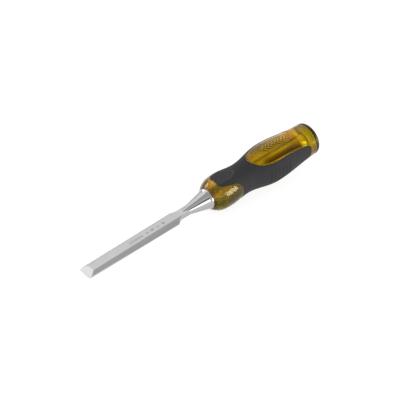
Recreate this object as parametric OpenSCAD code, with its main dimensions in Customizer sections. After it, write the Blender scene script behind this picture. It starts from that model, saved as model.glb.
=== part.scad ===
// Bench chisel: bevel-edged blade on a full-length tang, clear handle core,
// soft overmoulded grip and a steel strike cap.
// X runs along the tool from the cutting edge (X = 0) to the strike cap.
// +Z is the bevelled side, and the flat back of the blade lies at Z = 0.

/* [Blade] */
// Width of the blade at the cutting edge
blade_w = 12; // [6:1:20]
// Length from the cutting edge to the shoulders
blade_len = 89; // [70:1:110]
// Thickness of the blade just behind the cutting bevel
tip_t = 2.7; // [2:0.1:3.5]
// Thickness of the blade at the shoulders
shoulder_t = 4.75; // [4:0.05:6]
// Width of the flat strip along the top of the blade
top_flat_w = 6.4; // [3:0.1:8]
// Height of the square side wall at the cutting edge
side_wall_h = 0.95; // [0.5:0.05:1.5]
// Angle of the cutting bevel
bevel_angle = 25; // [20:1:35]
// Length of the shoulders, from full width in to the neck
shoulder_len = 6; // [5:0.5:9]

/* [Bolster and tang] */
// Length of the conical bolster, from inside the neck to the handle
bolster_len = 34; // [30:1:40]
// Radius of the bolster's rim, where it meets the handle
bolster_r = 8.9; // [8:0.1:9.1]
// Length of the straight band of the rim
rim_len = 1.2; // [0.6:0.1:2]
// Radius of the tang inside the handle
tang_r = 4; // [3:0.1:5]
// Radius of the tang's end, where it passes through the strike cap
tang_end_r = 3; // [2:0.1:3.5]

/* [Handle] */
// Length of the handle core
handle_len = 112; // [105:1:125]
// Radius of the handle where it meets the bolster
nose_r = 9.2; // [9.1:0.1:10]
// Radius of the front bulb, behind the nose
bulb_r = 14.8; // [13:0.1:16]
// Radius of the waist, behind the bulb
waist_r = 13.1; // [12:0.1:14.5]
// Radius of the palm swell, the thickest place
swell_r = 17.6; // [16:0.1:19]
// Radius of the handle at the strike cap
butt_r = 14.5; // [13.5:0.1:16]
// Radius of the rounded rear edge of the core
butt_round = 1.6; // [0.5:0.1:2]

/* [Grip] */
// Thickness of the soft grip
grip_t = 2.2; // [1.5:0.1:3]
// Distance from the nose to the front end of the grip's two tongues
tongue_gap = 7.7; // [5:0.1:10]
// Half height of the clear side lobes at the tongues' front end
lobe_h = 12.7; // [11.5:0.1:13]
// Half height of the clear side lobes at the back
lobe_rear_h = 10.9; // [9.5:0.1:12]
// Distance from the nose to the rear end of the side lobes
lobe_len = 28; // [24:1:32]
// Radius of the side lobes' rear corners
lobe_round = 9; // [5:1:11]
// Half width of the top and bottom windows
window_w = 13.3; // [11:0.1:14]
// Half width of the windows at the strike cap
window_rear_w = 12.4; // [11:0.1:14]
// Distance from the nose to the front end of the windows
window_gap = 44.5; // [40:0.5:50]
// Length of the windows' oval front end
window_nose = 23; // [14:1:28]
// Half height of the side pads' rear ends
pad_end_h = 6.9; // [5:0.1:8]
// Radius of the side pads' rear corners
pad_corner = 2.5; // [1:0.5:4]
// Distance from the side pads' rear ends to the strike cap
pad_gap = 7.3; // [6:0.1:9]

/* [Details] */
// Depth of the sunken panel in each window
panel_depth = 0.4; // [0.2:0.1:0.6]
// Width of the rim left around the sunken panel
panel_rim = 1.1; // [0.8:0.1:2]
// Length of clear handle left behind the sunken panel
panel_gap = 17; // [14:1:20]
// Height of the flat thumb rests on the tongues, above the handle's axis
thumb_rest_h = 13.65; // [13.5:0.05:14.4]
// Number of grooves across each side pad
groove_count = 6; // [2:1:8]
// Depth of the grooves
groove_depth = 0.5; // [0.3:0.1:0.8]

/* [Strike cap] */
// Thickness of the strike cap's disc
cap_t = 3; // [2:0.1:5]
// Radius of the strike cap
cap_r = 14.2; // [13.5:0.1:15]
// Chamfer on the strike cap's edges
cap_chamfer = 0.7; // [0.3:0.1:1]
// Radius of the boss that seats the strike cap in the handle
boss_r = 7; // [6:0.5:9]
// Length of the boss
boss_len = 5; // [3:0.5:6]

/* [Hidden] */
$fn = 96;

// Steps along each curved stretch of the handle's outline
outline_steps = 9;
// Extra reach that carries a cut clear of the surface it passes through
over = 2;
// Half height of a cut that passes right through the handle
through = swell_r + over;
// Height of the handle's axis above the blade's back: mid-thickness of the neck
axis_z = shoulder_t / 2;
// Lean of the blade's upper faces, which thins the blade towards the edge
taper = atan((shoulder_t - tip_t) / blade_len);
// Half width of the neck behind the shoulders
neck_w = top_flat_w / 2;
// Radius of the arc that sweeps each shoulder in to the neck
shoulder_drop = blade_w / 2 - neck_w;
shoulder_r = (shoulder_len ^ 2 + shoulder_drop ^ 2) / (2 * shoulder_drop);
// Where the neck ends inside the bolster
neck_end = blade_len + 14;
// Radius of the bolster's thin end, inside the neck, and of its cone at the rim
cone_tip_r = 1;
cone_end_r = bolster_r - 0.9;
// Stations along the handle
nose_x = blade_len + bolster_len;
bulb_x = nose_x + 16;
waist_x = nose_x + 36;
swell_x = nose_x + 68;
butt_x = nose_x + handle_len;
end_x = butt_x + cap_t;
// Rear end of the side pads
pad_end_x = butt_x - pad_gap;
// Sunken panel of a window
panel_w = window_w - panel_rim;
panel_rear_w = window_rear_w - panel_rim / 2;
panel_x0 = nose_x + window_gap + panel_rim;
panel_x1 = butt_x - panel_gap;
panel_corner = 4;
// Place behind the side lobes from which the windows' sides close in on the pads' rear ends
pad_taper_x = pad_end_x - 12;
pad_taper_h = 11;
// Length in which the thumb rests are cut
thumb_len = 31;
// Grooves across the side pads
groove_x0 = nose_x + 56;
groove_pitch = 4;
groove_w = 1.6;
groove_h = 6;
// Radial overlap that keeps two shells from sharing a surface in mid-air
bite = 1;

// Smooth rise from 0 to 1 as s goes from 0 to 1
function ease(s) = (1 - cos(180 * s)) / 2;
// Quick rise that levels out, from 0 to 1 as s goes from 0 to 1
function ease_out(s) = 1 - (1 - s) ^ 3;
// Radius of the handle at x
function handle_r(x) =
    x < bulb_x ? nose_r + (bulb_r - nose_r) * ease_out((x - nose_x) / (bulb_x - nose_x)) :
    x < waist_x ? bulb_r + (waist_r - bulb_r) * ease((x - bulb_x) / (waist_x - bulb_x)) :
    x < swell_x ? waist_r + (swell_r - waist_r) * ease((x - waist_x) / (swell_x - waist_x)) :
    swell_r + (butt_r - swell_r) * ease((x - swell_x) / (butt_x - swell_x));
// Places along one stretch of the handle, the last left to the next stretch
function stretch(from, to) =
    [for (i = [0 : outline_steps - 1]) from + (to - from) * i / outline_steps];
// All places along the handle, up to where its rear edge starts to round
stations = concat(
    stretch(nose_x, bulb_x), stretch(bulb_x, waist_x), stretch(waist_x, swell_x),
    stretch(swell_x, butt_x - butt_round), [butt_x - butt_round]);

// Turns a profile of [radius, x] points about the handle's axis
module turned(profile) {
    translate([0, 0, axis_z]) rotate([0, 90, 0]) rotate_extrude() polygon(profile);
}

// Handle body at an even depth under the outer surface, from one place to another
module handle_body(depth = 0, from = nose_x, to = butt_x) {
    inner = [for (x = stations) if (x > from && x < to) [handle_r(x) - depth, x]];
    turned(concat([[0, from], [handle_r(from) - depth, from]], inner,
        [[handle_r(to) - depth, to], [0, to]]));
}

// Whole handle, with its rear edge rounded
module whole_handle() {
    body = [for (x = stations) [handle_r(x), x]];
    edge_r = handle_r(butt_x - butt_round) - butt_round;
    edge = [for (a = [30 : 30 : 90])
        [edge_r + butt_round * cos(a), butt_x - butt_round + butt_round * sin(a)]];
    turned(concat([[0, nose_x]], body, edge, [[0, butt_x]]));
}

// Extrudes an X-Y outline up and down through the handle
module cut_through_z() {
    translate([0, 0, axis_z - through]) linear_extrude(height = 2 * through) children();
}

// Extrudes an X-Z outline, centred on the handle's axis, from side to side
module cut_through_y() {
    translate([0, through, axis_z]) rotate([90, 0, 0])
        linear_extrude(height = 2 * through) children();
}

// Rectangle from x0 to x1, w to each side, with round corners at its x1 end
module round_ended(x0, x1, w, corner) {
    translate([x0, -w]) square([x1 - x0 - corner, 2 * w]);
    translate([x0, corner - w]) square([x1 - x0, 2 * (w - corner)]);
    for (side = [-1, 1]) translate([x1 - corner, side * (w - corner)]) circle(r = corner);
}

// Outline with an oval nose at x0, w to each side behind it and end_w to each side at x1
module oval_nosed(x0, x1, w, end_w, nose) {
    oval = [for (a = [0 : 10 : 180]) [x0 + nose - nose * sin(a), w * cos(a)]];
    polygon(concat(oval, [[x1, -end_w], [x1, end_w]]));
}

// Everything that the grip leaves open: the nose, side lobes, windows and rear end
module grip_openings() {
    translate([nose_x - over, -through, axis_z - through])
        cube([tongue_gap + over, 2 * through, 2 * through]);
    cut_through_y() hull() {
        translate([nose_x, -lobe_h]) square([tongue_gap, 2 * lobe_h]);
        round_ended(nose_x, nose_x + lobe_len, lobe_rear_h, lobe_round);
    }
    cut_through_z()
        oval_nosed(nose_x + window_gap, butt_x + over, window_w, window_rear_w, window_nose);
    cut_through_y() difference() {
        translate([pad_taper_x, -through]) square([butt_x + over - pad_taper_x, 2 * through]);
        hull() {
            translate([pad_taper_x - over, -pad_taper_h]) square([over, 2 * pad_taper_h]);
            round_ended(pad_taper_x, pad_end_x, pad_end_h, pad_corner);
        }
    }
}

// The soft shell, before its raised and sunken details
module grip_shell() {
    difference() {
        handle_body();
        handle_body(depth = grip_t, from = nose_x + bite, to = butt_x - bite);
        grip_openings();
    }
}

// Block that cuts the flat thumb rest on one tongue; side is -1 or 1
module thumb_rest(side) {
    translate([nose_x, -bulb_r, axis_z + side * thumb_rest_h - (1 - side) / 2 * over])
        cube([thumb_len, 2 * bulb_r, over]);
}

// Grooves across one side pad; side is -1 or 1
module grooves(side) {
    for (i = [0 : groove_count - 1]) {
        x = groove_x0 + i * groove_pitch;
        translate([x - groove_w / 2, side * (handle_r(x) - groove_depth) - (1 - side) / 2 * over,
            axis_z - groove_h])
            cube([groove_w, over, 2 * groove_h]);
    }
}

// Sunken panel in the top and bottom windows
module window_panels() {
    difference() {
        intersection() {
            handle_body(depth = -bite, from = panel_x0 - bite, to = panel_x1 + bite);
            cut_through_z() intersection() {
                oval_nosed(panel_x0, panel_x1, panel_w, panel_rear_w, window_nose);
                round_ended(panel_x0 - over, panel_x1, panel_w, panel_corner);
            }
        }
        handle_body(depth = panel_depth, from = panel_x0 - 2 * bite, to = panel_x1 + 2 * bite);
    }
}

// Blade seen from above, with its shoulders swept in to the neck
module blade_plan() {
    shoulder_end = blade_len + shoulder_len;
    difference() {
        translate([0, -blade_w / 2]) square([shoulder_end, blade_w]);
        for (side = [-1, 1])
            translate([shoulder_end, side * (neck_w + shoulder_r)]) circle(r = shoulder_r);
    }
    translate([blade_len, -neck_w]) square([neck_end - blade_len, 2 * neck_w]);
}

// Bevel-edged section, leaning so that the blade thins towards its edge
module blade_section() {
    rotate([0, -taper, 0]) rotate([90, 0, 90]) linear_extrude(height = neck_end + over)
        polygon([[-blade_w / 2, -shoulder_t], [blade_w / 2, -shoulder_t],
            [blade_w / 2, side_wall_h], [top_flat_w / 2, tip_t],
            [-top_flat_w / 2, tip_t], [-blade_w / 2, side_wall_h]]);
}

// Blade, neck, bolster and tang: one forging
module blade() {
    color("silver") {
        difference() {
            intersection() {
                blade_section();
                linear_extrude(height = 2 * shoulder_t) blade_plan();
            }
            rotate([0, -bevel_angle, 0]) translate([-blade_w, -blade_w, 0])
                cube([3 * blade_w, 2 * blade_w, blade_w]);
        }
        turned([[0, blade_len], [cone_tip_r, blade_len], [cone_end_r, nose_x - 2 * rim_len],
            [bolster_r, nose_x - rim_len], [bolster_r, nose_x], [tang_r, nose_x],
            [tang_r, butt_x - boss_len], [tang_end_r, butt_x - boss_len],
            [tang_end_r, end_x], [0, end_x]]);
    }
}

// Clear handle core, moulded around the tang and seated under the grip
module handle_core() {
    color("goldenrod") difference() {
        whole_handle();
        grip_shell();
        window_panels();
        turned([[0, nose_x - over], [tang_r, nose_x - over], [tang_r, butt_x - boss_len],
            [boss_r, butt_x - boss_len], [boss_r, butt_x + over], [0, butt_x + over]]);
    }
}

// Soft grip: a shell with two tongues in front and two side pads behind
module grip() {
    color("dimgray") difference() {
        grip_shell();
        for (side = [-1, 1]) {
            thumb_rest(side);
            grooves(side);
        }
    }
}

// Steel disc that takes the mallet's blows, seated on the tang's end
module strike_cap() {
    face_r = cap_r - cap_chamfer;
    color("darkslategray") turned([[tang_end_r, butt_x - boss_len], [boss_r, butt_x - boss_len],
        [boss_r, butt_x], [face_r, butt_x], [cap_r, butt_x + cap_chamfer],
        [cap_r, end_x - cap_chamfer], [face_r, end_x], [tang_end_r, end_x]]);
}

blade();
handle_core();
grip();
strike_cap();
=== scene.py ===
"""Bench chisel: the finished meshes, materials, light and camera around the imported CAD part."""

import math

import bmesh
import bpy
import numpy as np
from mathutils import Matrix, Vector


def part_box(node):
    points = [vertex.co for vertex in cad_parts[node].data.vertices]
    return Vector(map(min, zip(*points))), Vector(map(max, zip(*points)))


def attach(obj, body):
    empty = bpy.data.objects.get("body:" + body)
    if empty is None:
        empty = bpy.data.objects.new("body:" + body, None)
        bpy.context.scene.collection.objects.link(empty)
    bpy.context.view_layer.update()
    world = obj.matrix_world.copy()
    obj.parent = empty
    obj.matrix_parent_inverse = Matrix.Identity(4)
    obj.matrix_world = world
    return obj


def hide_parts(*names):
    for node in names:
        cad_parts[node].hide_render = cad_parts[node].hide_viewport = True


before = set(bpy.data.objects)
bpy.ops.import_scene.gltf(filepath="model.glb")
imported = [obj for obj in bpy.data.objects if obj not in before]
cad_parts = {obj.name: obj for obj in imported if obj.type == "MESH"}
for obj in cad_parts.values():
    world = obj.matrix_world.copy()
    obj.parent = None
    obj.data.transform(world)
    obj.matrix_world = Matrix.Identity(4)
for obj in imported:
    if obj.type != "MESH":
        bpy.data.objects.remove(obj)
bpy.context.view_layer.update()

MM = 0.001

# ---------------------------------------------------------------- places taken from the CAD frame
core_low, core_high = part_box("handle_core")
blade_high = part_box("blade")[1]
cap_low, cap_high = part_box("strike_cap")
grip_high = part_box("grip")[1]
NOSE_X = core_low.x
BUTT_X = core_high.x
END_X = blade_high.x
BOSS_X = cap_low.x
AXIS_Z = (cap_low.z + cap_high.z) / 2
BOLSTER_R = blade_high.y
SWELL_R = grip_high.y
CAP_R = cap_high.y

# ---------------------------------------------------------------- sizes that the frame doesn't give
# Blade: flat back below, top flat, side bevels, side walls, shoulders and neck.
BLADE_W = 12 * MM
BLADE_LEN = 89 * MM
TIP_T = 2.7 * MM
SHOULDER_T = 2 * AXIS_Z
TOP_FLAT_W = 6.4 * MM
SIDE_WALL_H = 0.95 * MM
BEVEL_ANGLE = math.radians(25)
BEVEL_LEN = TIP_T / math.tan(BEVEL_ANGLE)
SHOULDER_LEN = 6 * MM
SHOULDER_STEPS = 14
NECK_END = BLADE_LEN + 14 * MM
# Arrises are eased from behind the cutting edge to where the neck enters the bolster.
ARRIS = 0.12 * MM
ARRIS_ANGLE = math.radians(12)
ARRIS_X0 = 0.5 * MM
ARRIS_X1 = NECK_END - 1 * MM

# Bolster's cone and rim, tang, and the strike cap's boss.
CONE_TIP_R = 1 * MM
CONE_END_X = NOSE_X - 2.4 * MM
CONE_END_R = BOLSTER_R - 0.9 * MM
RIM_X = NOSE_X - 1.2 * MM
TANG_R = 4 * MM
TANG_END_X = BUTT_X - 5 * MM
TANG_END_R = 3 * MM
TANG_GAP = 0.05 * MM
AXIS_HOLE_R = 0.02 * MM
BOSS_R = 7 * MM

# Handle's outline: radius at the nose, the bulb, the waist and the butt.
NOSE_R = 9.2 * MM
BULB_R = 14.8 * MM
WAIST_R = 13.1 * MM
BUTT_R = 14.5 * MM
BULB_X = NOSE_X + 16 * MM
WAIST_X = NOSE_X + 36 * MM
SWELL_X = NOSE_X + 68 * MM

# Grip's thickness and outline. Heights are from the handle's axis, and W is a window's half width.
GRIP_T = 2.2 * MM
TONGUE_X = NOSE_X + 7.7 * MM
LOBE_H = 12.7 * MM
LOBE_REAR_H = 10.9 * MM
LOBE_X = NOSE_X + 28 * MM
LOBE_ROUND = 9 * MM
LOBE_SOFT = 2.0 * MM
WINDOW_X = NOSE_X + 44.5 * MM
WINDOW_NOSE = 23 * MM
WINDOW_W = 13.3 * MM
WINDOW_REAR_W = 12.4 * MM
WINDOW_SOFT = 1.2 * MM
PAD_END_X = BUTT_X - 7.3 * MM
PAD_END_H = 6.9 * MM
PAD_CORNER = 2.5 * MM
PAD_TAPER_X = PAD_END_X - 12 * MM
PAD_TAPER_H = 11 * MM
THUMB_REST_H = 13.65 * MM
PANEL_X1 = BUTT_X - 17 * MM


# ---------------------------------------------------------------- small mesh helpers
def ease(s):
    """Smooth rise from 0 to 1 as s goes from 0 to 1."""
    return (1 - np.cos(np.pi * np.clip(s, 0, 1))) / 2


def handle_r(x):
    """Radius of the handle at x, the same rule as in the CAD model."""
    nose = 1 - (1 - np.clip((x - NOSE_X) / (BULB_X - NOSE_X), 0, 1)) ** 3
    waist = ease((x - BULB_X) / (WAIST_X - BULB_X))
    swell = ease((x - WAIST_X) / (SWELL_X - WAIST_X))
    butt = ease((x - SWELL_X) / (BUTT_X - SWELL_X))
    return (NOSE_R + (BULB_R - NOSE_R) * nose + (WAIST_R - BULB_R) * waist
            + (SWELL_R - WAIST_R) * swell + (BUTT_R - SWELL_R) * butt)


def new_object(name, verts, faces):
    """A mesh object whose place is in its vertices."""
    mesh = bpy.data.meshes.new(name)
    mesh.from_pydata([tuple(v) for v in verts], [], [tuple(int(i) for i in f) for f in faces])
    obj = bpy.data.objects.new(name, mesh)
    bpy.context.scene.collection.objects.link(obj)
    return obj


def clean(obj, weld=1e-7, sharp=None):
    """Welds doubles, drops empty faces, turns normals outward and shades smooth, up to the sharp
    angle in degrees where one is given."""
    bm = bmesh.new()
    bm.from_mesh(obj.data)
    bmesh.ops.remove_doubles(bm, verts=bm.verts, dist=weld)
    bmesh.ops.dissolve_degenerate(bm, edges=bm.edges, dist=weld)
    bmesh.ops.recalc_face_normals(bm, faces=bm.faces)
    bm.to_mesh(obj.data)
    bm.free()
    obj.data.shade_smooth()
    if sharp is not None:
        obj.data.set_sharp_from_angle(angle=math.radians(sharp))
    return obj


def revolve(profile, steps=160):
    """Vertices and faces of a closed profile of (x, radius) turned about the handle's axis."""
    count = len(profile)
    turn = 2 * math.pi / steps
    verts = [(x, r * math.sin(i * turn), AXIS_Z + r * math.cos(i * turn))
             for i in range(steps) for x, r in profile]
    faces = []
    for i in range(steps):
        a, b = i * count, (i + 1) % steps * count
        for k in range(count):
            m = (k + 1) % count
            faces.append((a + k, a + m, b + m, b + k))
    return verts, faces


def rounded(corners, steps=4):
    """Closed profile through (x, radius, rounding) corners, with an arc for each rounding."""
    out = []
    count = len(corners)
    for k, (x, r, rounding) in enumerate(corners):
        here = Vector((x, r))
        if not rounding:
            out.append(tuple(here))
            continue
        before, after = Vector(corners[k - 1][:2]), Vector(corners[(k + 1) % count][:2])
        to_before, to_after = (before - here).normalized(), (after - here).normalized()
        half = to_before.angle(to_after) / 2
        reach = rounding / math.tan(half)
        start, end = here + to_before * reach, here + to_after * reach
        centre = here + (to_before + to_after).normalized() * (rounding / math.sin(half))
        for s in range(steps + 1):
            lean = start.lerp(end, s / steps) - centre
            out.append(tuple(centre + lean.normalized() * rounding))
    return out


# ---------------------------------------------------------------- outlines on the handle's skin
# A point on the skin is (x, s): s is the angle from the top line times this reference radius.
SKIN_R = 15 * MM
SIDE_S = SKIN_R * math.pi / 2
CURVE_POINTS = 60
SIDE_POINTS = 400
LOBE_POINTS = 40


def skin_s(x, z):
    """Skin coordinate of the point at height z above the axis."""
    return SKIN_R * np.arccos(np.clip(z / handle_r(x), -1, 1))


def on_skin(points, height=0.0):
    """Space points for skin points, at a height above the handle's skin."""
    x, angle = points[..., 0], points[..., 1] / SKIN_R
    r = handle_r(x) + height
    return np.stack([x, r * np.sin(angle), AXIS_Z + r * np.cos(angle)], -1)


def along(points, count, crowd=0.0):
    """The outline cut into count points by length, crowded towards both ends by the crowd share."""
    steps = np.linspace(0, 1, count)
    steps = (1 - crowd) * steps + crowd * ease(steps)
    length = np.r_[0, np.cumsum(np.hypot(*np.diff(points, axis=0).T))]
    return np.stack([np.interp(steps * length[-1], length, points[:, k]) for k in (0, 1)], 1)


def soften(points, reach):
    """Rounds an outline's corners by averaging over reach. It mirrors itself about the top line
    at its start and about the side line at its end, as the handle does."""
    spacing = 0.1 * MM
    length = np.hypot(*np.diff(points, axis=0).T).sum()
    fine = along(points, int(length / spacing) + 1)
    pad = int(reach / spacing)
    head = fine[1:pad + 1][::-1] * [1, -1]
    tail = fine[-pad - 1:-1][::-1] * [1, -1] + [0, 2 * SIDE_S]
    window = np.hanning(2 * pad + 3)[1:-1]
    window /= window.sum()
    both = np.concatenate([head, fine, tail])
    return np.stack([np.convolve(both[:, k], window, "valid") for k in (0, 1)], 1)


def tangent_arc(point, centre, radius, count):
    """Points (x, z) from a point straight to a circle it lies outside, and round it to its +x side."""
    away = np.subtract(centre, point)
    lean = math.atan2(away[1], away[0]) + math.asin(radius / np.hypot(*away))
    turn = np.linspace(lean + math.pi / 2, 0, count)
    arc = np.add(centre, radius * np.stack([np.cos(turn), np.sin(turn)], 1))
    line = np.linspace(point, arc[0], count)
    return np.concatenate([line, arc[1:]])


def side_view(points):
    """Skin points for (x, z) points of an outline drawn from the side, z above the axis."""
    return np.stack([points[:, 0], skin_s(points[:, 0], points[:, 1])], 1)


def window_outline():
    """Edge of the top window and the side pad's rear end, from the top line round to the side line,
    and the corner where the window's side meets the pad."""
    turn = np.linspace(0, math.pi / 2, CURVE_POINTS)
    x = WINDOW_X + WINDOW_NOSE * (1 - np.cos(turn))
    oval = np.stack([x, skin_s(x, np.sqrt(handle_r(x) ** 2 - (WINDOW_W * np.sin(turn)) ** 2))], 1)
    x = np.linspace(WINDOW_X + WINDOW_NOSE, PAD_END_X, SIDE_POINTS)[1:]
    width = np.interp(x, [x[0], BUTT_X], [WINDOW_W, WINDOW_REAR_W])
    window_z = np.sqrt(handle_r(x) ** 2 - width ** 2)
    pad = tangent_arc((PAD_TAPER_X, PAD_TAPER_H),
                      (PAD_END_X - PAD_CORNER, PAD_END_H - PAD_CORNER), PAD_CORNER, CURVE_POINTS)
    straight = window_z < np.interp(x, pad[:, 0], pad[:, 1], left=SWELL_R)
    sides = side_view(np.stack([x[straight], window_z[straight]], 1))
    end = side_view(np.append(pad[pad[:, 0] > x[straight][-1]], [[PAD_END_X, 0]], 0))
    return soften(np.concatenate([oval, sides, end]), WINDOW_SOFT), sides[-1]


def lobe_outline():
    """Front end of the tongue and edge of the side lobe, from the top line round to the side line,
    and the corner between the two."""
    corner = np.array([TONGUE_X, skin_s(TONGUE_X, LOBE_H)])
    lobe = tangent_arc((TONGUE_X, LOBE_H), (LOBE_X - LOBE_ROUND, LOBE_REAR_H - LOBE_ROUND),
                       LOBE_ROUND, LOBE_POINTS)
    outline = np.concatenate([[[TONGUE_X, 0]], side_view(lobe), [[LOBE_X, SIDE_S]]])
    return soften(outline, LOBE_SOFT), corner


def split_at(outline, corner):
    """The outline in two, parted where it passes nearest to the corner."""
    k = int(np.argmin(np.hypot(*(outline - corner).T)))
    return outline[:k + 1], outline[k:]


def between(a, b, count):
    """Straight skin line from a to b."""
    return along(np.array([a, b], float), count)


def patch(c0, c1, d0, d1):
    """Coons patch between two long edges (c0, c1) and two short ones (d0, d1), with its columns
    spaced as the points of d1 are."""
    u = np.linspace(0, 1, len(c0))[:, None, None]
    chord = np.hypot(*np.diff(d1, axis=0).T)
    v = (np.r_[0, np.cumsum(chord)] / chord.sum())[None, :, None]
    ruled = (1 - v) * c0[:, None] + v * c1[:, None] + (1 - u) * d0[None] + u * d1[None]
    corners = ((1 - u) * (1 - v) * c0[0] + u * (1 - v) * c0[-1]
               + (1 - u) * v * c1[0] + u * v * c1[-1])
    return ruled - corners


class Quarters:
    """Collects grids for one quarter of the handle and mirrors them to the other three."""

    def __init__(self):
        self.verts, self.faces = [], []

    def grid(self, points):
        """Adds a grid of space points of shape (n, m, 3)."""
        n, m = points.shape[:2]
        base = np.arange(n * m).reshape(n, m)
        quads = np.stack([base[:-1, :-1], base[1:, :-1], base[1:, 1:], base[:-1, 1:]], -1)
        quads = quads.reshape(-1, 4)
        for flip_y in (1, -1):
            for flip_z in (1, -1):
                start = sum(len(v) for v in self.verts)
                q = points.reshape(-1, 3).copy()
                q[:, 1] *= flip_y
                q[:, 2] = AXIS_Z + flip_z * (q[:, 2] - AXIS_Z)
                self.verts.append(q)
                self.faces.append(start + (quads if flip_y * flip_z > 0 else quads[:, ::-1]))

    def rings(self, profile, s_values):
        """Adds a band of revolution through (x, radius) points, with one column for each s value."""
        angle = np.asarray(s_values) / SKIN_R
        self.grid(np.stack([np.stack([np.full_like(angle, x), r * np.sin(angle),
                                      AXIS_Z + r * np.cos(angle)], -1) for x, r in profile]))

    def build(self, name):
        """The whole mesh, as one object."""
        return new_object(name, np.concatenate(self.verts), np.concatenate(self.faces))


def distance_to(points, outline):
    """Distance over the skin from each skin point to the nearest point of the outline."""
    def flat(p):
        """The point on the skin rolled out flat, with true lengths on both axes."""
        return np.stack([p[..., 0], p[..., 1] * handle_r(p[..., 0]) / SKIN_R], -1)

    batch = 512
    q, edge = flat(points).reshape(-1, 2), flat(outline)
    near = [np.hypot(*(edge[None] - q[i:i + batch, None]).transpose(2, 0, 1)).min(1)
            for i in range(0, len(q), batch)]
    return np.concatenate(near).reshape(points.shape[:-1])


# ---------------------------------------------------------------- edges shared by the core and the grip
window_edge, pad_corner = window_outline()
lobe_edge, tongue_corner = lobe_outline()
window_side, pad_end = split_at(window_edge, pad_corner)
tongue_front, lobe_side = split_at(lobe_edge, tongue_corner)

# Points along each edge: two edges that face each other across a patch have the same number.
ACROSS = 32
ACROSS_CROWD = 0.75
TONGUE_POINTS = 80
WINDOW_POINTS = 162
LOBE_SIDE_POINTS = 72
MIDDLE_POINTS = TONGUE_POINTS + WINDOW_POINTS - LOBE_SIDE_POINTS

TONGUE_TOP = between([TONGUE_X, 0], [WINDOW_X, 0], TONGUE_POINTS)
WINDOW_SIDE = along(window_side, WINDOW_POINTS)
PAD_END = along(pad_end, ACROSS, ACROSS_CROWD)
TONGUE_FRONT = along(tongue_front, ACROSS, ACROSS_CROWD)
LOBE_SIDE = along(lobe_side, LOBE_SIDE_POINTS)
PAD_MIDDLE = between([LOBE_X, SIDE_S], PAD_END[-1], MIDDLE_POINTS)
GRIP_SKIN = patch(np.concatenate([TONGUE_TOP, WINDOW_SIDE[1:]]),
                  np.concatenate([LOBE_SIDE, PAD_MIDDLE[1:]]), TONGUE_FRONT, PAD_END)

GROOVE_X0 = NOSE_X + 56 * MM
GROOVE_PITCH = 4 * MM
GROOVE_W = 1.6 * MM
GROOVE_H = 6 * MM
GROOVE_COUNT = 6
GROOVE_DEPTH = 0.5 * MM
GROOVE_SOFT = 0.9 * MM
LIP_R = 0.55 * MM
REST_SOFT = 0.12 * MM
GRIP_BITE = 0.03 * MM


def step(value, soft):
    """0 below zero, 1 above zero, with a smooth rise over the soft width."""
    return ease(value / soft + 0.5)


def box_distance(dx, dy, corner):
    """Distance outside a rounded box; dx and dy are distances outside its sides."""
    far = np.hypot(np.clip(dx + corner, 0, None), np.clip(dy + corner, 0, None))
    return far + np.clip(np.maximum(dx, dy) + corner, None, 0) - corner


def grip_height(skin):
    """Relief of the grip's outer skin: rounded lips, flat thumb rests and finger grooves."""
    x, s = skin[..., 0], skin[..., 1]
    upright = np.cos(s / SKIN_R)
    z = handle_r(x) * upright
    edge = np.minimum(distance_to(skin, window_edge), distance_to(skin, lobe_edge))
    lip = LIP_R - np.sqrt(LIP_R ** 2 - np.clip(LIP_R - edge, 0, LIP_R) ** 2)

    # The cut takes off what stands above the thumb rest, eased in, and nothing behind the waist.
    # It is measured straight down, but the height is measured away from the axis.
    above = np.where(x < WAIST_X, z - THUMB_REST_H, 0)
    eased = REST_SOFT * np.logaddexp(0, above / REST_SOFT)
    cut = np.maximum(eased - REST_SOFT * math.log(2) * (x >= WAIST_X), 0)
    least_upright = 0.5
    height = -cut / np.maximum(upright, least_upright)
    for i in range(GROOVE_COUNT):
        across = np.abs(x - (GROOVE_X0 + i * GROOVE_PITCH)) - GROOVE_W / 2
        groove = box_distance(across, z - GROOVE_H, GROOVE_W / 2)
        height = height - GROOVE_DEPTH * step(-groove, GROOVE_SOFT)
    return height - lip


def nudged(points, reach):
    """A patch's outermost row, the first of the two given, pushed out past its own edge by reach."""
    lean = points[0] - points[1]
    return points[0] + lean / np.linalg.norm(lean, axis=-1, keepdims=True) * reach


def make_grip():
    """Soft shell: outer skin, inner skin and the walls between them, in four mirrored quarters.
    It bites into the core a little all round, so that no gap shows between the two."""
    outer = on_skin(GRIP_SKIN, grip_height(GRIP_SKIN))
    inner = on_skin(GRIP_SKIN, -GRIP_T - GRIP_BITE)
    first = len(TONGUE_TOP) - 1
    last = len(LOBE_SIDE)
    for skin in (outer, inner):
        skin[first:, 0] = nudged(skin[first:, :2].transpose(1, 0, 2), GRIP_BITE)
        skin[:last, -1] = nudged(skin[:last, -2:][:, ::-1].transpose(1, 0, 2), GRIP_BITE)
        skin[0, :] = nudged(skin[:2], GRIP_BITE)
        skin[-1, :] = nudged(skin[-2:][::-1], GRIP_BITE)
        # Rows on a mirror plane stay on it.
        skin[:, 0][:first + 1, 1] = 0
        skin[:, -1][last - 1:, 2] = AXIS_Z
        skin[0, 0, 1] = 0
    quarter = Quarters()
    quarter.grid(outer)
    quarter.grid(inner)
    wall_shares = (0, 0.33, 0.66, 1)
    for edge in (np.s_[first:, 0], np.s_[:last, -1], np.s_[0, :], np.s_[-1, :]):
        top, bottom = outer[edge], inner[edge]
        quarter.grid(np.stack([top + (bottom - top) * share for share in wall_shares]))
    return clean(quarter.build("soft_grip"), weld=2e-6)


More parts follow.
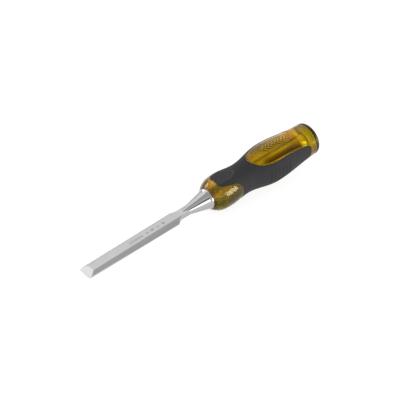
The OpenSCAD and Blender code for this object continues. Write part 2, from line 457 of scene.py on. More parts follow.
# ---------------------------------------------------------------- clear core
PANEL_RIM = 1.1 * MM
PANEL_DEPTH = 0.4 * MM
PANEL_ROUND = 4 * MM
PANEL_SOFT = 0.6 * MM
SEAM_DEPTH = 0.3 * MM
SEAM_W = 0.45 * MM
BUTT_ROUND = 1.6 * MM
CHEVRON_X0 = SWELL_X - 9 * MM
CHEVRON_X1 = SWELL_X + 22 * MM
CHEVRON_PITCH = 3.6 * MM
CHEVRON_W = 1.7 * MM
CHEVRON_SPAN = 3.0 * MM
CHEVRON_H = 0.26 * MM
CHEVRON_SOFT = 0.45 * MM
WINDOW_ACROSS = 44
RING_ROWS = 18
BUTT_ROWS = 6
NOSE_ROWS = 34
CORE_BITE = 0.02 * MM
CORE_SHARP = math.radians(50)


def seam_groove(edge):
    """Small roll-off of the clear plastic where it meets the grip."""
    return -SEAM_DEPTH * np.clip(1 - edge / SEAM_W, 0, 1) ** 2


def seamed(skin, height, seam):
    """Space points of a clear patch whose seam, the given points, lies at the seam groove's floor."""
    height[seam] = seam_groove(0.0)
    return on_skin(skin, height)


def window_height(skin):
    """Relief of a window: seam, rim, sunken panel and a row of raised chevrons."""
    x, s = skin[..., 0], skin[..., 1]
    y = handle_r(x) * np.sin(s / SKIN_R)
    edge = distance_to(skin, window_edge)
    outside = box_distance(PANEL_RIM - edge, x - PANEL_X1, PANEL_ROUND)
    height = seam_groove(edge) - PANEL_DEPTH * step(-outside, PANEL_SOFT)
    along_row = x - y
    phase = (along_row - CHEVRON_X0) % CHEVRON_PITCH - CHEVRON_PITCH / 2
    in_row = np.minimum(along_row - CHEVRON_X0, CHEVRON_X1 - along_row)
    bar = np.minimum(np.minimum(CHEVRON_W / 2 - np.abs(phase), CHEVRON_SPAN - y), in_row)
    return height + CHEVRON_H * step(bar, CHEVRON_SOFT)


def add_window(quarter):
    """Adds the window with its panel and the ring behind it, and returns the s values of the ring's
    rear edge."""
    corner = WINDOW_SIDE[-1]
    across = between([corner[0], 0], corner, WINDOW_ACROSS)
    top_line = between([WINDOW_X, 0], across[0], len(WINDOW_SIDE))
    window = patch(top_line, WINDOW_SIDE, np.repeat(WINDOW_SIDE[:1], len(across), 0), across)
    quarter.grid(seamed(window, window_height(window), np.s_[:, -1]))

    start = np.concatenate([across, PAD_END[1:]])
    finish = np.stack([np.full(len(start), BUTT_X - BUTT_ROUND), start[:, 1]], 1)
    ring = patch(start, finish, between(start[0], finish[0], RING_ROWS),
                 between(start[-1], finish[-1], RING_ROWS))
    quarter.grid(seamed(ring, window_height(ring), np.s_[len(across) - 1:, 0]))
    return start[:, 1]


def add_butt(quarter, s_values):
    """Adds the rounded rear edge, the rear face and the bores for the boss and the tang."""
    round_x = BUTT_X - BUTT_ROUND
    edge_r = float(handle_r(round_x)) - BUTT_ROUND
    lean = np.linspace(0, math.pi / 2, BUTT_ROWS)
    edge = [(round_x + (BUTT_ROUND + CORE_BITE) * math.sin(a), edge_r + BUTT_ROUND * math.cos(a))
            for a in lean]
    boss_r, tang_r, seat_x = BOSS_R - CORE_BITE, TANG_R - CORE_BITE, BOSS_X + CORE_BITE
    bores = [(BUTT_X + CORE_BITE, boss_r), (seat_x, boss_r), (seat_x, tang_r), (NOSE_X, tang_r)]
    quarter.rings(edge + bores, s_values)


def add_nose(quarter):
    """Adds the nose and the side lobe, from the bolster back to the grip's front edge."""
    lobe = np.concatenate([TONGUE_FRONT, LOBE_SIDE[1:]])
    even = np.linspace(0, SIDE_S, len(lobe))
    nose = np.stack([np.full(len(lobe), NOSE_X), (even + lobe[:, 1]) / 2], 1)
    front = patch(nose, lobe, between(nose[0], lobe[0], NOSE_ROWS),
                  between(nose[-1], lobe[-1], NOSE_ROWS))
    quarter.grid(seamed(front, seam_groove(distance_to(front, lobe_edge)), np.s_[:, -1]))


def add_seat(quarter):
    """Adds the seat under the grip and the walls from it up to the seams."""
    quarter.grid(on_skin(GRIP_SKIN, -GRIP_T))
    edge_h = seam_groove(0.0)
    heights = (edge_h, (edge_h - GRIP_T) / 2, -GRIP_T)
    for seam in (WINDOW_SIDE, PAD_END, TONGUE_FRONT, LOBE_SIDE):
        quarter.grid(np.stack([on_skin(seam, height) for height in heights]))


def close_nose(core):
    """Fills the flat front face, between the nose's edge and the tang's bore."""
    bm = bmesh.new()
    bm.from_mesh(core.data)
    rim = [edge for edge in bm.edges
           if edge.is_boundary and all(v.co.x < NOSE_X + CORE_BITE for v in edge.verts)]
    bmesh.ops.triangle_fill(bm, use_beauty=True, edges=rim)
    bmesh.ops.recalc_face_normals(bm, faces=bm.faces)
    for face in bm.faces:
        face.smooth = True
    bm.to_mesh(core.data)
    bm.free()
    core.data.set_sharp_from_angle(angle=CORE_SHARP)


def make_core():
    """Clear plastic body in four mirrored quarters: windows, rear end and bores, nose, grip's seat."""
    quarter = Quarters()
    butt_s = add_window(quarter)
    add_butt(quarter, butt_s)
    add_nose(quarter)
    add_seat(quarter)
    core = clean(quarter.build("amber_core"), weld=1e-6)
    close_nose(core)
    return core


# ---------------------------------------------------------------- blade, bolster and tang
def blade_sections():
    """Sections of the blade from the cutting edge to the neck, six points each."""
    half, flat = BLADE_W / 2, TOP_FLAT_W / 2
    slope = (SHOULDER_T - TIP_T) / BLADE_LEN
    lean = (TIP_T - SIDE_WALL_H) / (half - flat)
    grade = math.tan(BEVEL_ANGLE)
    shoulder_end = BLADE_LEN + SHOULDER_LEN
    drop = half - flat
    shoulder_r = (SHOULDER_LEN ** 2 + drop ** 2) / (2 * drop)
    places = [0, SIDE_WALL_H / (grade - slope), TIP_T / (grade - slope), BLADE_LEN]
    places += [BLADE_LEN + SHOULDER_LEN * k / SHOULDER_STEPS for k in range(1, SHOULDER_STEPS + 1)]
    places.append(NECK_END)
    sections = []
    for x in places:
        width = half
        if x > BLADE_LEN:
            reach = min(x, shoulder_end) - shoulder_end
            width = flat + shoulder_r - math.sqrt(shoulder_r ** 2 - reach ** 2)
        top, wall, cut = TIP_T + slope * x, SIDE_WALL_H + slope * x, grade * x
        height = min(top, cut)
        side = min(height, wall + (half - width) * lean)
        top_half = min(width, half - max(height - wall, 0) / lean)
        sections.append([(x, -width, 0), (x, width, 0), (x, width, side),
                         (x, top_half, height), (x, -top_half, height), (x, -width, side)])
    return sections


def is_arris(edge):
    """True for a sharp edge that is neither the cutting edge nor hidden in the bolster."""
    middle_x = sum(v.co.x for v in edge.verts) / 2
    sharp = edge.is_manifold and edge.calc_face_angle(0) > ARRIS_ANGLE
    return sharp and ARRIS_X0 < middle_x < ARRIS_X1


def blade_body():
    """Bevel-edge blade with eased arrises, as far as the end of its neck."""
    sections = blade_sections()
    count = len(sections[0])
    verts = [point for section in sections for point in section]
    faces = [tuple(reversed(range(count))), tuple(range(len(verts) - count, len(verts)))]
    for i in range(len(sections) - 1):
        for k in range(count):
            a, b = count * i + k, count * i + (k + 1) % count
            faces.append((a, b, b + count, a + count))
    body = clean(new_object("blade_body", verts, faces))
    bm = bmesh.new()
    bm.from_mesh(body.data)
    arrises = [edge for edge in bm.edges if is_arris(edge)]
    bmesh.ops.bevel(bm, geom=arrises, offset=ARRIS, segments=2, profile=0.5, affect="EDGES",
                    clamp_overlap=True)
    bm.to_mesh(body.data)
    bm.free()
    return body


def bolster_and_tang():
    """Conical bolster with its rim, and the tang with its thinner end, turned as one. A hole 0.04 mm
    wide is left along the axis, so that no face narrows to a point."""
    corners = [(BLADE_LEN, AXIS_HOLE_R, 0), (BLADE_LEN, CONE_TIP_R, 0),
               (CONE_END_X, CONE_END_R, 0.6 * MM), (RIM_X, BOLSTER_R, 0.5 * MM),
               (NOSE_X, BOLSTER_R, 0.3 * MM), (NOSE_X, TANG_R, 0),
               (TANG_END_X, TANG_R, 0), (TANG_END_X, TANG_END_R, 0),
               (END_X, TANG_END_R, 0.25 * MM), (END_X, AXIS_HOLE_R, 0)]
    verts, faces = revolve(rounded(corners))
    return clean(new_object("bolster", verts, faces))


def make_blade():
    """The whole forging: the blade joined to its bolster and tang."""
    body = blade_body()
    turned = bolster_and_tang()
    join = body.modifiers.new("join", "BOOLEAN")
    join.operation, join.solver, join.object = "UNION", "EXACT", turned
    dg = bpy.context.evaluated_depsgraph_get()
    mesh = bpy.data.meshes.new_from_object(body.evaluated_get(dg), depsgraph=dg)
    blade = bpy.data.objects.new("forged_blade", mesh)
    bpy.context.scene.collection.objects.link(blade)
    for spent in (body, turned):
        bpy.data.objects.remove(spent)
    return clean(blade, weld=1e-6, sharp=5)


def make_cap():
    """Steel cap: a disc with eased edges, a boss inside the core and a bore for the tang's end."""
    bore = TANG_END_R + TANG_GAP
    corners = [(BOSS_X, bore, 0), (BOSS_X, BOSS_R, 0), (BUTT_X, BOSS_R, 0),
               (BUTT_X, CAP_R, 0.6 * MM), (END_X, CAP_R, 0.8 * MM), (END_X, bore, 0.25 * MM)]
    verts, faces = revolve(rounded(corners, steps=6))
    return clean(new_object("steel_cap", verts, faces), sharp=40)


# ---------------------------------------------------------------- materials
class Nodes:
    """Short way to write the node tree of a material or of the world."""

    def __init__(self, owner, output, coordinates):
        owner.use_nodes = True
        self.owner = owner
        self.tree = owner.node_tree
        self.tree.nodes.clear()
        self.output = self.add(output)
        self.place = self.add("ShaderNodeTexCoord").outputs[coordinates]

    def add(self, kind, settings=None, **inputs):
        """Adds a node; each input is a value or the socket that drives it."""
        node = self.tree.nodes.new(kind)
        for key, value in (settings or {}).items():
            setattr(node, key, value)
        for key, value in inputs.items():
            self.plug(node.inputs[key.replace("_", " ")], value)
        return node

    def plug(self, socket, value):
        """Links the socket to another one, or sets it to a value."""
        if isinstance(value, bpy.types.NodeSocket):
            self.tree.links.new(value, socket)
        else:
            socket.default_value = value

    def math(self, operation, *values, clamp=False):
        """Result of a math node."""
        node = self.add("ShaderNodeMath", {"operation": operation, "use_clamp": clamp})
        for socket, value in zip(node.inputs, values):
            self.plug(socket, value)
        return node.outputs[0]

    def noise(self, stretch, detail=4.0, roughness=0.55, distortion=0.0):
        """Noise with that many waves a metre along X, Y and Z."""
        place = self.add("ShaderNodeMapping", Vector=self.place, Scale=stretch).outputs[0]
        node = self.add("ShaderNodeTexNoise", Vector=place, Scale=1.0,
                        Detail=detail, Roughness=roughness, Distortion=distortion)
        return node.outputs["Fac"]

    def ramp(self, value, low, high, to_low=0.0, to_high=1.0, rise="SMOOTHSTEP"):
        """Goes from to_low to to_high as the value goes from low to high, and stays there."""
        node = self.add("ShaderNodeMapRange", {"interpolation_type": rise}, Value=value,
                        From_Min=low, From_Max=high, To_Min=to_low, To_Max=to_high)
        return node.outputs[0]

    def mix(self, share, a, b):
        """Mix of two colours."""
        node = self.add("ShaderNodeMix", {"data_type": "RGBA"})
        self.plug(node.inputs[0], share)
        for socket, value in ((node.inputs[6], a), (node.inputs[7], b)):
            self.plug(socket, (*value, 1) if isinstance(value, tuple) and len(value) == 3 else value)
        return node.outputs[2]

    def blend(self, share, a, b):
        """Mix of two numbers."""
        node = self.add("ShaderNodeMix", {"data_type": "FLOAT"})
        for socket, value in zip((node.inputs[0], node.inputs[2], node.inputs[3]), (share, a, b)):
            self.plug(socket, value)
        return node.outputs[0]

    def axes(self):
        """X, Y and Z of the place, in metres."""
        return self.add("ShaderNodeSeparateXYZ", Vector=self.place).outputs

    def off_axis(self):
        """Height above or below the handle's axis, never negative."""
        return self.math("ABSOLUTE", self.math("SUBTRACT", self.axes()["Z"], AXIS_Z))

    def axis_distance(self):
        """Distance from the handle's axis."""
        y, up = self.axes()["Y"], self.off_axis()
        squares = self.math("ADD", self.math("MULTIPLY", y, y), self.math("MULTIPLY", up, up))
        return self.math("SQRT", squares)

    def bump(self, height, strength, depth):
        """Normal tilted by a height pattern."""
        node = self.add("ShaderNodeBump", Height=height, Strength=strength, Distance=depth)
        return node.outputs[0]

    def surface(self, **inputs):
        """Finishes a material with a principled shader, and returns it."""
        shader = self.add("ShaderNodeBsdfPrincipled", **inputs)
        self.tree.links.new(shader.outputs[0], self.output.inputs["Surface"])
        return self.owner


def material_nodes(name):
    """Node tree of a new material."""
    return Nodes(bpy.data.materials.new(name), "ShaderNodeOutputMaterial", "Object")


def grey(level):
    """Neutral colour."""
    return (level, level, level)


GROUND_DARK = grey(0.38)
GROUND_LIGHT = grey(0.44)
GROUND_LINES = grey(0.51)
# Painted shade of the blade's side walls.
WALL_SHADE_GREY = grey(0.27)
HONED_GREY = grey(0.45)
MARK_GREY = (0.16, 0.16, 0.17)
# Tang tones inside the handle are painted light and shade, paler where light reaches through the
# plastic.
TANG_NOSE = (0.48, 0.47, 0.44)
TANG_BULB_SHADE = (0.28, 0.27, 0.26)
TANG_REAR_LIGHT = (0.72, 0.71, 0.69)
TANG_STRETCH_LIGHT = (0.78, 0.78, 0.77)
RIVET_DARK = (0.36, 0.35, 0.33)
RIVET_LIGHT = (0.50, 0.49, 0.46)


def steel_material():
    """Steel of the whole forging: ground blade, polished bolster, and a dull tang, painted light and
    shade, with a smoother, palest rear stretch and a riveted end face."""
    n = material_nodes("ground_steel")
    x = n.axes()["X"]
    lines = n.noise((120, 5200, 5200), 3.0, 0.7)
    cloud = n.noise((60, 90, 90), 3.0)
    dull = n.math("MULTIPLY", n.ramp(x, NOSE_X, NOSE_X + 0.1 * MM),
                  n.ramp(x, PANEL_X1 - 24 * MM, PANEL_X1, 1.0, 0.0))
    lit_rear_stretch = n.ramp(x, PANEL_X1 - 2 * MM, PANEL_X1 + 2 * MM)
    rivet = n.ramp(x, END_X - 0.7 * MM, END_X - 0.3 * MM)
    tone = n.mix(dull, blade_tone(n, lines, cloud), tang_light_and_shade(n))
    # Painted light: the tang's rear stretch is coloured pale.
    tone = n.mix(lit_rear_stretch, tone, TANG_STRETCH_LIGHT)
    tone = n.mix(rivet, tone, n.mix(cloud, RIVET_DARK, RIVET_LIGHT))

    polished = n.ramp(x, BLADE_LEN + 3 * MM, BLADE_LEN + 9 * MM)
    ground = n.math("ADD", n.math("MULTIPLY", lines, 0.14), 0.26)
    rough = n.blend(polished, ground, n.ramp(cloud, 0.3, 0.7, 0.10, 0.16))
    rough = n.blend(dull, rough, 0.55)
    rough = n.blend(lit_rear_stretch, rough, 0.42)
    scratch = n.math("MULTIPLY", lines, n.math("SUBTRACT", 1.0, n.math("MULTIPLY", polished, 0.9)))
    return n.surface(Base_Color=tone, Metallic=1.0, Roughness=rough,
                     Normal=n.bump(scratch, strength=0.25, depth=0.02 * MM))


def blade_tone(n, lines, cloud):
    """Colour of the blade and the bolster: lengthwise grinding lines, painted shade on the side walls
    deepening towards the shoulder, a honed cutting bevel and etched marks."""
    x, y, z = n.axes()
    tone = n.mix(cloud, GROUND_DARK, GROUND_LIGHT)
    tone = n.mix(n.ramp(lines, 0.35, 0.65, 0.0, 0.25), tone, GROUND_LINES)
    # Painted shade on the side walls, deepening from near the tip towards the shoulder.
    wall = n.ramp(n.math("ABSOLUTE", y), BLADE_W / 2 - 0.3 * MM, BLADE_W / 2 - 0.1 * MM)
    wall = n.math("MULTIPLY", wall, n.ramp(x, 5 * MM, 60 * MM, 0.1, 0.85))
    wall = n.math("MULTIPLY", wall, n.ramp(x, BLADE_LEN, BLADE_LEN + 2 * MM, 1.0, 0.0))
    tone = n.mix(wall, tone, WALL_SHADE_GREY)
    honed = n.ramp(x, BEVEL_LEN - 0.2 * MM, BEVEL_LEN, 1.0, 0.0)
    tone = n.mix(honed, tone, HONED_GREY)
    return n.mix(etched_marks(n, x, y, z), tone, MARK_GREY)


def tang_light_and_shade(n):
    """Colour of the tang inside the handle, painted light and shade: greyer behind the nose, painted
    shade under the bulb, and painted light from the waist back."""
    x = n.axes()["X"]
    tone = n.mix(n.ramp(x, LOBE_X, WAIST_X), TANG_BULB_SHADE, TANG_REAR_LIGHT)
    return n.mix(n.ramp(x, NOSE_X + 8 * MM, BULB_X, 1.0, 0.0), tone, TANG_NOSE)


def etched_marks(n, x, y, z):
    """Mask of generic marks on the top flat, from front to back: a dashed bar, two short ticks, a
    thin line and a lozenge."""
    def span(value, low, high, soft=0.08 * MM):
        """1 between low and high, with soft ends."""
        rise = n.ramp(value, low - soft, low + soft)
        fall = n.ramp(value, high - soft, high + soft, 1.0, 0.0)
        return n.math("MULTIPLY", rise, fall)

    dash_pitch = 1.5 * MM
    dashes = n.math("FRACT", n.math("DIVIDE", x, dash_pitch))
    dashed = n.math("MULTIPLY", span(dashes, 0.12, 0.72, 0.06), span(x, 43 * MM, 57 * MM))
    dashed = n.math("MULTIPLY", dashed, span(y, -1.1 * MM, 1.1 * MM))
    ticks = n.math("ADD", span(x, 60 * MM, 61.6 * MM), span(x, 64.5 * MM, 67.5 * MM))
    ticks = n.math("MULTIPLY", ticks, span(y, -0.9 * MM, 0.9 * MM))
    line = n.math("MULTIPLY", span(x, 70 * MM, 73 * MM), span(y, -0.4 * MM, 0.4 * MM))
    lozenge_x = 77 * MM
    lean = n.math("ADD", n.math("ABSOLUTE", n.math("SUBTRACT", x, lozenge_x)),
                  n.math("ABSOLUTE", y))
    lozenge = n.ramp(lean, 1.5 * MM, 1.7 * MM, 1.0, 0.0)
    marks = n.math("ADD", n.math("ADD", dashed, lozenge), n.math("ADD", ticks, line), clamp=True)
    on_top = n.ramp(z, 1.5 * MM, 2.5 * MM)
    strength = 0.6
    return n.math("MULTIPLY", n.math("MULTIPLY", marks, on_top), strength)


RUBBER_DARK = (0.012, 0.012, 0.0135)
RUBBER_LIGHT = (0.023, 0.023, 0.025)
RUBBER_SCUFF = (0.07, 0.07, 0.073)
REST_FLAT = (0.030, 0.030, 0.032)
REST_ARC_HIGHLIGHT = (0.044, 0.044, 0.046)


def rubber_material():
    """Soft black overmould: fine pebbled skin with faint scuffs, slightly paler thumb rests and a
    painted highlight along each rest's rear edge.
    """
    n = material_nodes("soft_rubber")
    pebble = n.add("ShaderNodeTexVoronoi", {"feature": "SMOOTH_F1"}, Vector=n.place,
                   Scale=2600.0, Smoothness=0.6).outputs["Distance"]
    cloud = n.noise((70, 70, 70), 5.0, 0.6)
    scuff = n.noise((300, 900, 900), 3.0, 0.6)
    tone = n.mix(cloud, RUBBER_DARK, RUBBER_LIGHT)
    tone = n.mix(n.ramp(scuff, 0.62, 0.8, 0.0, 0.35), tone, RUBBER_SCUFF)
    flat, arc = thumb_rest_flat_and_highlight(n)
    tone = n.mix(flat, tone, REST_FLAT)
    # Painted highlight: a paler arc at the rear edge of each thumb rest.
    tone = n.mix(arc, tone, REST_ARC_HIGHLIGHT)
    rough = n.ramp(cloud, 0.3, 0.7, 0.66, 0.78)
    return n.surface(Base_Color=tone, Roughness=rough, IOR=1.35,
                     Normal=n.bump(pebble, strength=0.35, depth=0.05 * MM))


def thumb_rest_flat_and_highlight(n):
    """Masks of the flats of the thumb rests, and of a painted highlight in an arc at their rear ends.
    """
    x = n.axes()["X"]
    round_r = n.ramp(x, BULB_X, WAIST_X, BULB_R, WAIST_R)
    round_h = n.math("MULTIPLY", round_r, n.math("DIVIDE", n.off_axis(), n.axis_distance()))
    cut = n.math("SUBTRACT", round_h, THUMB_REST_H)
    flat = n.ramp(cut, 0.0, 0.1 * MM, 0.0, 0.8)
    arc = n.math("MULTIPLY", n.ramp(cut, -0.06 * MM, 0.04 * MM),
                 n.ramp(cut, 0.14 * MM, 0.3 * MM, 1.0, 0.0))
    return flat, n.math("MULTIPLY", arc, n.ramp(x, BULB_X, BULB_X + 4 * MM, 0.0, 0.9))


AMBER = (0.86, 0.71, 0.02)
AMBER_PALE = (0.92, 0.80, 0.03)
AMBER_DEPTH = (0.985, 0.95, 0.0, 1)
AMBER_SHINE = (1, 0.72, 0.02, 1)
LOBE_FRONT = (1.0, 0.70, 0.03)
LOBE_BACK = (0.50, 0.31, 0.02)
FAR_SIDE_SHADE = (0.50, 0.33, 0.02)
SIDE_SHADE_BROWN = (0.25, 0.17, 0.02)
VEIN_BROWN = (0.38, 0.21, 0.01)
NOSE_RING_SHADE = (0.20, 0.11, 0.01)
SHADE_BAND = (0.50, 0.28, 0.01)
GLOW_BAND = (1.0, 0.84, 0.03)
BRUSHED_DARK = (0.70, 0.42, 0.01)
BRUSHED_LIGHT = (1.0, 0.87, 0.04)
BRUSHED_REAR_SHADE = (0.50, 0.31, 0.01)
BORDER_SHADE = (0.13, 0.06, 0.005)


def amber_material():
    """Clear amber plastic that colours the light more the deeper it goes: glossy at the front and
    the rear edge, softly ribbed along the tool, and rougher in the windows' brushed panels."""
    n = material_nodes("amber_plastic")
    x, _, z = n.axes()
    streak = n.noise((45, 520, 520), 4.0, 0.6, 0.4)
    panel = n.math("MULTIPLY", n.ramp(x, WINDOW_X + 1 * MM, WINDOW_X + 3 * MM),
                   n.ramp(x, PANEL_X1 - 0.5 * MM, PANEL_X1 + 0.5 * MM, 1.0, 0.0))
    tone = n.mix(panel, clear_tone(n, streak), panel_tone(n, streak))
    rough = n.math("ADD", n.math("MULTIPLY", panel, 0.17), 0.03)
    gloss = n.math("MULTIPLY", n.ramp(x, WAIST_X - 5 * MM, WAIST_X + 5 * MM, 0.55, 0.0),
                   n.ramp(z, AXIS_Z + 1 * MM, AXIS_Z + 6 * MM, 0.1, 1.0))
    rear_edge = n.ramp(x, BUTT_X - BUTT_ROUND, BUTT_X - 1.1 * MM, 0.0, 0.9)
    ribs = n.noise((30, 900, 900), 2.0, 0.5)
    depth = n.add("ShaderNodeVolumeAbsorption", Color=AMBER_DEPTH, Density=400.0)
    n.tree.links.new(depth.outputs[0], n.output.inputs["Volume"])
    return n.surface(Base_Color=tone, Roughness=rough, IOR=1.45, Transmission_Weight=0.92,
                     Specular_IOR_Level=0.08, Specular_Tint=AMBER_SHINE,
                     Coat_Weight=n.math("ADD", gloss, rear_edge), Coat_Roughness=0.05,
                     Coat_IOR=1.47, Normal=n.bump(ribs, strength=0.3, depth=0.15 * MM))


def clear_tone(n, streak):
    """Colour of the plastic outside the panels: cloudy yellow, browner in the lobes, with swirling
    veins, and painted shade towards +Y, along the sides and in a ring at the nose, with painted bright
    streaks."""
    x, y, _ = n.axes()
    off_axis = n.off_axis()
    cloud = n.noise((60, 60, 60), 3.0)
    tone = n.mix(n.ramp(cloud, 0.35, 0.65), AMBER, AMBER_PALE)
    lobe = n.ramp(x, LOBE_X, WAIST_X, 1.0, 0.0)
    lobe_tone = n.mix(n.ramp(x, TONGUE_X + 2 * MM, BULB_X + 2 * MM), LOBE_FRONT, LOBE_BACK)
    tone = n.mix(n.math("MULTIPLY", lobe, 0.75), tone, lobe_tone)
    # Painted shade: browner towards the far (+Y) side.
    tone = n.mix(n.ramp(y, -4 * MM, 3 * MM, 0.0, 0.8), tone, FAR_SIDE_SHADE)
    # Painted shade along the sides at the axis's height, from just behind the nose back.
    side = n.math("MULTIPLY", n.ramp(off_axis, 2 * MM, 7 * MM, 0.8, 0.0),
                  n.ramp(x, TONGUE_X - 1 * MM, TONGUE_X + 6 * MM))
    tone = n.mix(side, tone, SIDE_SHADE_BROWN)

    swirl = n.noise((40, 380, 380), 3.0, 0.6, 1.0)
    veins = n.math("MULTIPLY", n.ramp(swirl, 0.45, 0.58), n.blend(lobe, 0.25, 0.8))
    tone = n.mix(veins, tone, VEIN_BROWN)
    # Painted shade in a ring of the plastic next to the bolster.
    ring_end = n.ramp(off_axis, 4 * MM, 5.4 * MM, NOSE_X + 2.2 * MM, NOSE_X + 4.0 * MM)
    ring = n.ramp(x, NOSE_X + 0.4 * MM, ring_end, 0.8, 0.0)
    tone = n.mix(ring, tone, NOSE_RING_SHADE)
    # Painted light and shade: bright streaks in the lobes with a shaded band round them.
    bright_streaks, shaded_band = glow_and_shade_bands(n, x, off_axis, streak)
    tone = n.mix(shaded_band, tone, SHADE_BAND)
    return n.mix(bright_streaks, tone, GLOW_BAND)


def panel_tone(n, streak):
    """Colour of a window's sunken panel: brushed along the tool, with painted shade towards its rear
    end and in a band along each side."""
    x, y, _ = n.axes()
    tone = n.mix(n.ramp(streak, 0.36, 0.56), BRUSHED_DARK, BRUSHED_LIGHT)
    # Painted shade towards the panel's rear end.
    tone = n.mix(n.ramp(x, PANEL_X1 - 16 * MM, PANEL_X1 - 3 * MM), tone, BRUSHED_REAR_SHADE)
    # Painted shade along the panel's sides, just inside the rim.
    return n.mix(panel_border_shade(n, x, y), tone, BORDER_SHADE)


def glow_and_shade_bands(n, x, off_axis, streak):
    """Masks of the painted bright streaks of light behind the nose in each side lobe, and of a band of
    painted shade above and below them."""
    low = n.ramp(x, NOSE_X + 3 * MM, NOSE_X + 7 * MM, 0.5 * MM, 4.4 * MM)
    start = n.ramp(off_axis, 4 * MM, 5.4 * MM, NOSE_X + 0.8 * MM, NOSE_X + 2.8 * MM)
    bright_streaks = n.math("MULTIPLY", n.ramp(n.math("SUBTRACT", off_axis, low), 0.0, 1.2 * MM),
                   n.ramp(off_axis, 7.2 * MM, 8.0 * MM, 1.0, 0.0))
    reach = n.math("MULTIPLY", n.ramp(n.math("SUBTRACT", x, start), 0.0, 1.4 * MM),
                   n.ramp(x, BULB_X - 5 * MM, BULB_X, 1.0, 0.0))
    lines = n.ramp(streak, 0.38, 0.5, 0.35, 1.0)
    bright_streaks = n.math("MULTIPLY", n.math("MULTIPLY", bright_streaks, reach), lines)
    shaded_band = n.math("MULTIPLY", n.ramp(off_axis, 7.4 * MM, 8.2 * MM),
                  n.ramp(off_axis, 9.4 * MM, 10.4 * MM, 1.0, 0.0))
    return bright_streaks, n.math("MULTIPLY", shaded_band, n.ramp(x, BULB_X - 6 * MM, BULB_X - 2 * MM, 0.7, 0.0))


def panel_border_shade(n, x, y):
    """Mask of the painted shade along the sides of the window's sunken panel, just inside its rim."""
    ahead = n.math("SUBTRACT", 1.0, n.math("DIVIDE", n.math("SUBTRACT", x, WINDOW_X), WINDOW_NOSE),
                   clamp=True)
    half = n.math("SQRT", n.math("SUBTRACT", 1.0, n.math("MULTIPLY", ahead, ahead)))
    inset = n.math("SUBTRACT", n.math("MULTIPLY", half, WINDOW_W), n.math("ABSOLUTE", y))
    band = n.math("MULTIPLY", n.ramp(inset, 0.7 * MM, 1.2 * MM),
                  n.ramp(inset, 2.8 * MM, 6.8 * MM, 1.0, 0.0))
    return n.math("MULTIPLY", band, n.ramp(x, WINDOW_X + 5 * MM, WINDOW_X + 14 * MM))


CAP_DARK = (0.045, 0.032, 0.009)
CAP_LIGHT = (0.085, 0.062, 0.022)
CAP_WORN = (0.30, 0.28, 0.24)
CAP_SEAT_LIGHT = (0.80, 0.78, 0.72)


def cap_material():
    """Blackened steel with fine turning marks, a worn end face, and a seat painted pale as painted
    light, which shows through the clear plastic in front of it and brightens it."""
    n = material_nodes("black_steel")
    x = n.axes()["X"]
    r = n.axis_distance()
    turning = n.add("ShaderNodeTexNoise", {"noise_dimensions": "1D"}, W=r, Scale=9000.0,
                    Detail=3.0).outputs["Fac"]
    cloud = n.noise((330, 330, 330), 5.0, 0.65)
    tone = n.mix(cloud, CAP_DARK, CAP_LIGHT)
    worn = n.math("MULTIPLY", n.ramp(cloud, 0.3, 0.7, 0.35, 0.75),
                  n.ramp(x, END_X - 0.9 * MM, END_X - 0.3 * MM))
    tone = n.mix(worn, tone, CAP_WORN)
    # Painted light: the seat behind the clear plastic is pale and matte so the plastic's rear band
    # shows bright.
    seat = n.math("MULTIPLY", n.ramp(x, BUTT_X + 0.05 * MM, BUTT_X + 0.15 * MM, 1.0, 0.0),
                  n.ramp(r, CAP_R - 1.2 * MM, CAP_R - 0.9 * MM, 1.0, 0.0))
    tone = n.mix(seat, tone, CAP_SEAT_LIGHT)
    rough = n.math("ADD", n.math("MULTIPLY", turning, 0.15), 0.26)
    rough = n.math("ADD", rough, n.math("MULTIPLY", seat, 0.35))
    metal = n.math("SUBTRACT", 0.9, n.math("MULTIPLY", seat, 0.9))
    return n.surface(Base_Color=tone, Metallic=metal, Roughness=rough,
                     Normal=n.bump(turning, strength=0.15, depth=0.02 * MM))


def floor_material():
    """Pale matte studio floor, lit a little from within so that it reads as white."""
    n = material_nodes("studio_floor")
    tone = n.mix(n.noise((3, 3, 3), 2.0), grey(0.24), grey(0.26))
    return n.surface(Base_Color=tone, Roughness=0.9, Emission_Color=(1, 1, 1, 1),
                     Emission_Strength=0.84)


# ---------------------------------------------------------------- camera, floor and light
# Azimuth, elevation and roll are in degrees, and the lens and its sensor in the camera's own mm.
CAMERA_TURNS = (43.82, 42.44, 2.03)
CAMERA_DISTANCE = 925.7 * MM
CAMERA_AIM = (119.6 * MM, 4.3 * MM, 0)
CAMERA_LENS = 105.1
CAMERA_SENSOR = 36

# In metres: half the floor's side, and how far the light panels stand from the handle.
FLOOR_HALF = 3.0
PANEL_REACH = 1.6

# Name, azimuth, elevation, width and height in degrees, and brightness.
PANELS = (("back_panel", 62, 46, 55, 48, 0.68),
          ("key_panel", 113, 22, 18, 20, 4.5),
          ("key_spill", 110, 54, 30, 26, 1.5),
          ("front_panel", -61, 11, 28, 24, 7.0),
          ("side_panel", -83, 18, 16, 22, 2.6),
          ("overhead_strip", -75, 61, 12, 5, 0.8))

# Dark card of the room: azimuth and elevation, and the angles from there to where its soft edge
# starts and ends, in degrees.
CARD_PLACE = (-82, 44)
CARD_INNER = 5
CARD_OUTER = 9


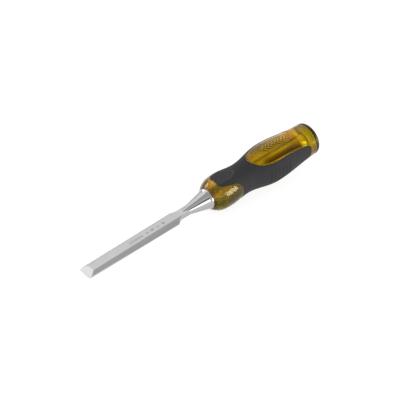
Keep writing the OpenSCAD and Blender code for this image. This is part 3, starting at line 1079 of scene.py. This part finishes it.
def make_camera():
    """Camera at the photo's angle: above, in front of the near side, with a long lens."""
    azimuth, elevation, roll = (math.radians(turn) for turn in CAMERA_TURNS)
    right = Vector((math.cos(azimuth), -math.sin(azimuth), 0))
    ahead = Vector((math.sin(azimuth) * math.cos(elevation),
                    math.cos(azimuth) * math.cos(elevation), -math.sin(elevation)))
    up = right.cross(ahead)
    roll_over = Matrix.Rotation(roll, 3, -ahead)
    right, up = roll_over @ right, roll_over @ up
    data = bpy.data.cameras.new("camera")
    data.lens, data.sensor_width = CAMERA_LENS, CAMERA_SENSOR
    data.clip_start, data.clip_end = 0.01, 20
    camera = bpy.data.objects.new("camera", data)
    bpy.context.scene.collection.objects.link(camera)
    axes = Matrix((right, up, -ahead)).transposed().to_4x4()
    camera.matrix_world = Matrix.Translation(Vector(CAMERA_AIM) - ahead * CAMERA_DISTANCE) @ axes
    bpy.context.scene.camera = camera


def make_floor():
    """Pale floor under the tool, which lies on its thumb rest and its palm swell."""
    front = Vector((TONGUE_X, 0, AXIS_Z - THUMB_REST_H))
    back = Vector((SWELL_X, 0, AXIS_Z - SWELL_R))
    lean = math.atan((front.z - back.z) / (back.x - front.x))
    half = FLOOR_HALF
    floor = clean(new_object("floor", [(-half, -half, 0), (half, -half, 0),
                                       (half, half, 0), (-half, half, 0)], [(0, 1, 2, 3)]))
    floor.matrix_world = Matrix.Translation(back) @ Matrix.Rotation(lean, 4, "Y")
    floor.data.materials.append(floor_material())


def aim_at(azimuth, elevation):
    """Direction with that azimuth and elevation in degrees."""
    turn, lean = math.radians(azimuth), math.radians(elevation)
    return Vector((math.cos(turn) * math.cos(lean), math.sin(turn) * math.cos(lean),
                   math.sin(lean)))


def make_world():
    """Studio room: pale near the horizon, dimmer overhead, with a dark card high in front."""
    world = bpy.data.worlds.new("studio")
    bpy.context.scene.world = world
    n = Nodes(world, "ShaderNodeOutputWorld", "Generated")
    room = n.ramp(n.axes()["Z"], 0.2, 0.7, 0.90, 0.68, rise="LINEAR")
    card = n.add("ShaderNodeVectorMath", {"operation": "DOT_PRODUCT"})
    n.plug(card.inputs[0], n.place)
    n.plug(card.inputs[1], aim_at(*CARD_PLACE))
    outer, inner = (math.cos(math.radians(angle)) for angle in (CARD_OUTER, CARD_INNER))
    shade = n.ramp(card.outputs["Value"], outer, inner, 1.0, 0.35, rise="LINEAR")
    background = n.add("ShaderNodeBackground", Color=(1, 1, 1, 1),
                       Strength=n.math("MULTIPLY", room, shade))
    n.tree.links.new(background.outputs[0], n.output.inputs["Surface"])


def softbox(name, azimuth, elevation, width, height, brightness):
    """Soft panel of light facing the handle: place and size as angles in degrees seen from it."""
    reach = PANEL_REACH
    middle = Vector((BULB_X, 0, 0))
    ahead = aim_at(azimuth, elevation)
    data = bpy.data.lights.new(name, "AREA")
    data.shape = "RECTANGLE"
    data.size = 2 * reach * math.tan(math.radians(width / 2))
    data.size_y = 2 * reach * math.tan(math.radians(height / 2))
    data.energy = brightness * math.pi * data.size * data.size_y
    lamp = bpy.data.objects.new(name, data)
    bpy.context.scene.collection.objects.link(lamp)
    across = aim_at(azimuth + 90, 0)
    axes = Matrix((across, ahead.cross(across), ahead)).transposed().to_4x4()
    lamp.matrix_world = Matrix.Translation(middle + ahead * reach) @ axes


def make_light():
    """Soft studio light: a wide panel and a key behind the tool, a spill of the key above it, two
    low panels on the near side and a faint strip overhead."""
    make_world()
    for panel in PANELS:
        softbox(*panel)


# ---------------------------------------------------------------- the scene
make_camera()
PIECES = ((make_blade, steel_material, "blade", "blade_steel"),
          (make_core, amber_material, "handle_core", "amber_plastic"),
          (make_grip, rubber_material, "grip", "soft_grip"),
          (make_cap, cap_material, "strike_cap", "cap_steel"))
for make, finish, node, slot in PIECES:
    piece = make()
    piece.data.materials.append(finish())
    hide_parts(node)
    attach(piece, "root")
make_floor()
make_light()
view = bpy.context.scene.view_settings
view.view_transform, view.look = "Standard", "None"
